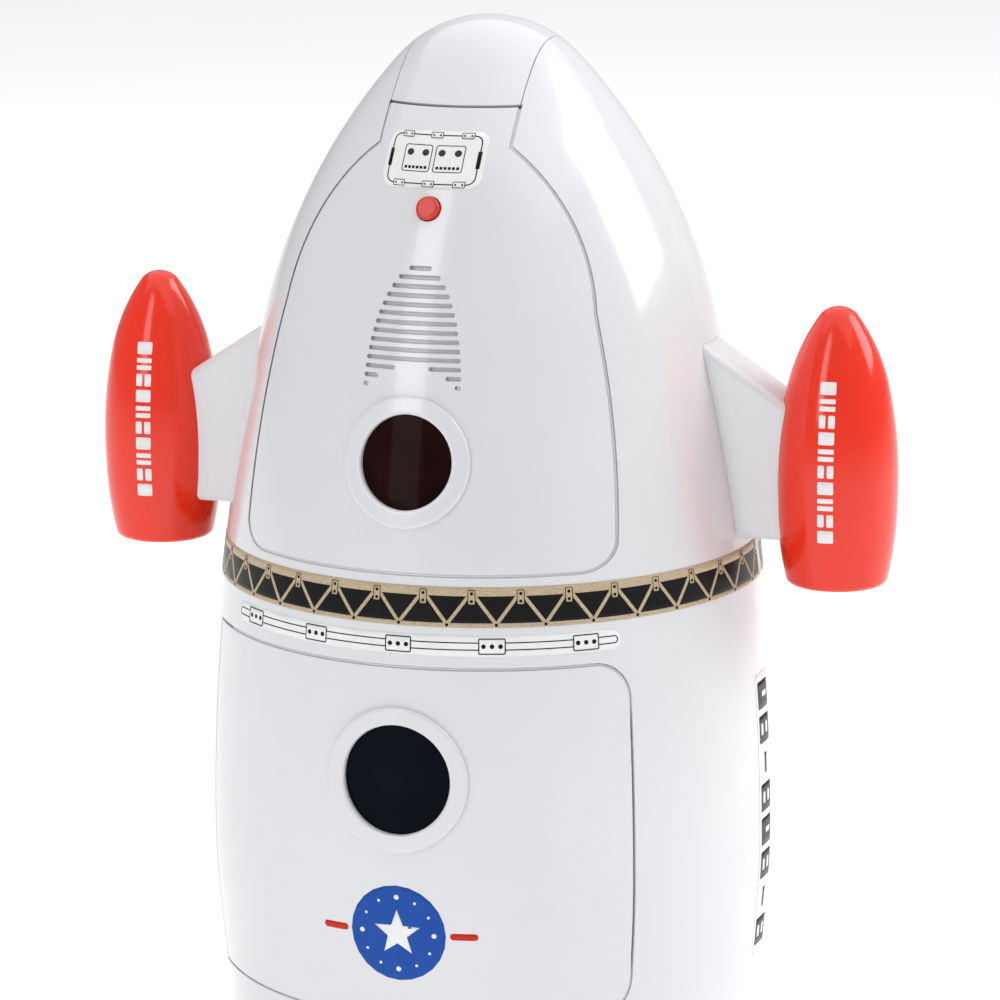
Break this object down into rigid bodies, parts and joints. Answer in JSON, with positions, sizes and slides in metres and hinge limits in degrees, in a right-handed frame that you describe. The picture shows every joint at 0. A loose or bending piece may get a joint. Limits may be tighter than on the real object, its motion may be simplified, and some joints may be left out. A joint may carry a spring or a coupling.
{
  "type": "toy rocket playset",
  "caption": "Upright toy rocket playset with a canopy hinged at the nose, a side-hung lower door, tinted portholes, a speaker grille and button, and side pods on fins.",
  "frame": {"origin": "Middle of the base, on the surface that the rubber feet stand on.", "axes": "+X to the rocket's left-hand pod as seen from behind it, which is the viewer's right from the front; -Y is the front with both doors."},
  "size_m": [0.3198, 0.2218, 0.4504],
  "materials": {
    "shell_white": "glossy",
    "window_maroon": "glossy",
    "window_blue": "glossy",
    "pin_steel": "drawn",
    "screw_steel": "zinc plated",
    "inner_grey": "matte",
    "cell_wrap": "printed wrap",
    "contact_nickel": "nickel plated",
    "speaker_steel": "pressed",
    "speaker_paper": "pulp",
    "board_green": "solder mask",
    "switch_black": "matte",
    "button_red": "glossy",
    "pod_red": "glossy",
    "foot_rubber": "matte"
  },
  "bodies": {
    "root": {"upper_hull": "shell_white", "nose_spine": "shell_white", "waist_deck": "shell_white", "lower_floor": "shell_white", "lower_hull": "shell_white", "rear_panel": "shell_white", "canopy_hinge_pin": "pin_steel", "door_hinge_pin": "pin_steel", "panel_screws": "screw_steel", "left_fin_screws": "screw_steel", "right_fin_screws": "screw_steel", "left_pod_screws": "screw_steel", "right_pod_screws": "screw_steel", "base_screws": "screw_steel", "left_fin": "shell_white", "right_fin": "shell_white", "left_pod": "pod_red", "right_pod": "pod_red", "left_pod_base": "pod_red", "right_pod_base": "pod_red", "base_ring": "shell_white", "base_plate": "inner_grey", "rubber_feet": "foot_rubber"},
    "canopy": {"canopy_door": "shell_white", "grille_baffle": "shell_white", "upper_bezel": "shell_white", "upper_lens": "window_maroon", "sound_box": "inner_grey", "unit_screws": "screw_steel", "battery_cover": "inner_grey", "cover_screw": "screw_steel", "battery_cells": "cell_wrap", "battery_contacts": "contact_nickel", "speaker_frame": "speaker_steel", "speaker_cone": "speaker_paper", "circuit_board": "board_green", "board_screws": "screw_steel", "tact_switch": "switch_black", "power_switch_body": "switch_black"},
    "lower_door": {"lower_door": "shell_white", "lower_bezel": "shell_white", "lower_lens": "window_blue"},
    "button": {"button_cap": "button_red", "switch_plunger": "switch_black"},
    "power_knob": {"power_knob": "switch_black"}
  },
  "joints": [
    {"name": "canopy_hinge", "type": "hinge", "parent": "root", "child": "canopy", "pos_m": [0, -0.03101, 0.42994], "axis": [-1, 0, 0], "range_deg": [0, 75]},
    {"name": "lower_door_hinge", "type": "hinge", "parent": "root", "child": "lower_door", "pos_m": [-0.09524, -0.03924, 0.155], "axis": [0, 0, -1], "range_deg": [0, 100]},
    {"name": "button_press", "type": "slide", "parent": "canopy", "child": "button", "axis": [0, 0.9272, -0.3746], "range_m": [0, 0.0012], "stiffness_N_per_m": 600},
    {"name": "power_slide", "type": "slide", "parent": "canopy", "child": "power_knob", "axis": [1, 0, 0], "range_m": [0, 0.004]}
  ]
}
